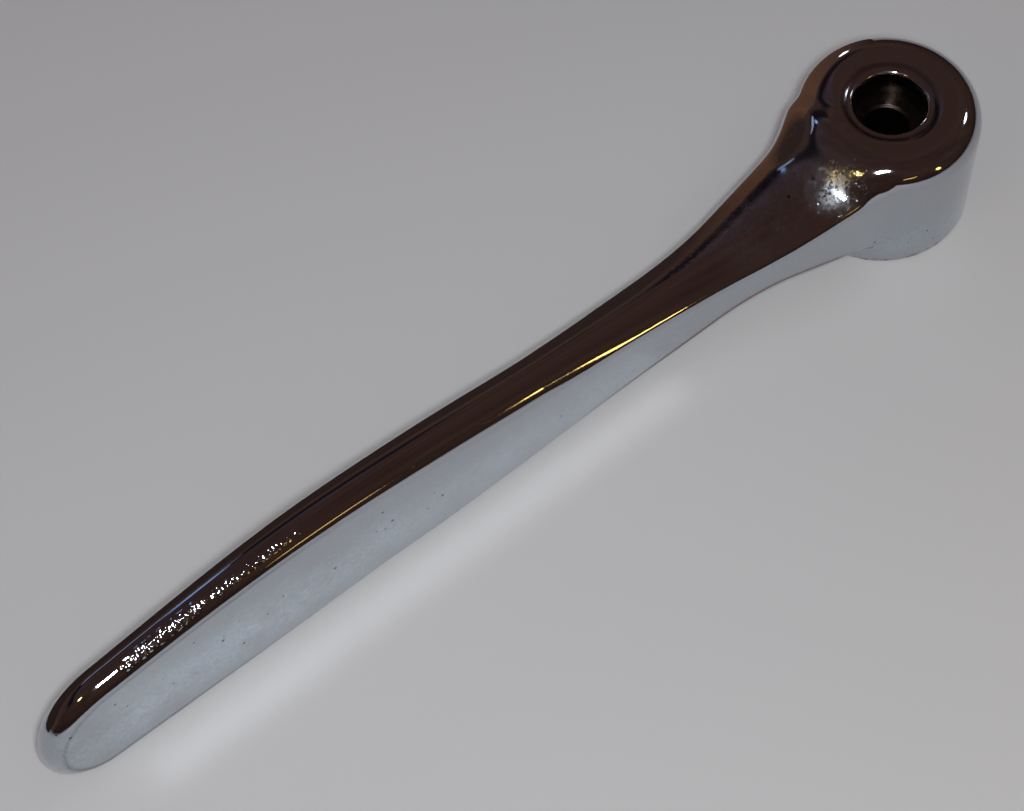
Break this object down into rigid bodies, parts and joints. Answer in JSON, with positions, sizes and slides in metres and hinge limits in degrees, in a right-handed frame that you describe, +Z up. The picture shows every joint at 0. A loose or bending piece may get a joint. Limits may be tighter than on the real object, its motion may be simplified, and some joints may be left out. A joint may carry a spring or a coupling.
{
  "type": "winch handle",
  "caption": "Chrome-plated bronze lever handle for a small sailing winch: round boss with a square drive socket and a counterbored screw hole, and a deep thin grip.",
  "frame": {"origin": "where the spindle axis meets the plane of the boss's foot, in the mouth of the square socket", "axes": "+Z up the spindle axis, out of the screw counterbore; +X from the spindle axis to the end of the grip; symmetric in Y"},
  "size_m": [0.2214, 0.0364, 0.032],
  "materials": {
    "chromed_bronze": "old bright chrome over bronze, lightly pitted, brassy where the edges are worn",
    "bush_steel": "machined, dull and slightly stained",
    "pin_steel": "ground ends"
  },
  "bodies": {
    "root": {"handle_casting": "chromed_bronze", "drive_bush": "bush_steel", "lock_pin_port": "pin_steel", "lock_pin_starboard": "pin_steel"}
  },
  "joints": []
}
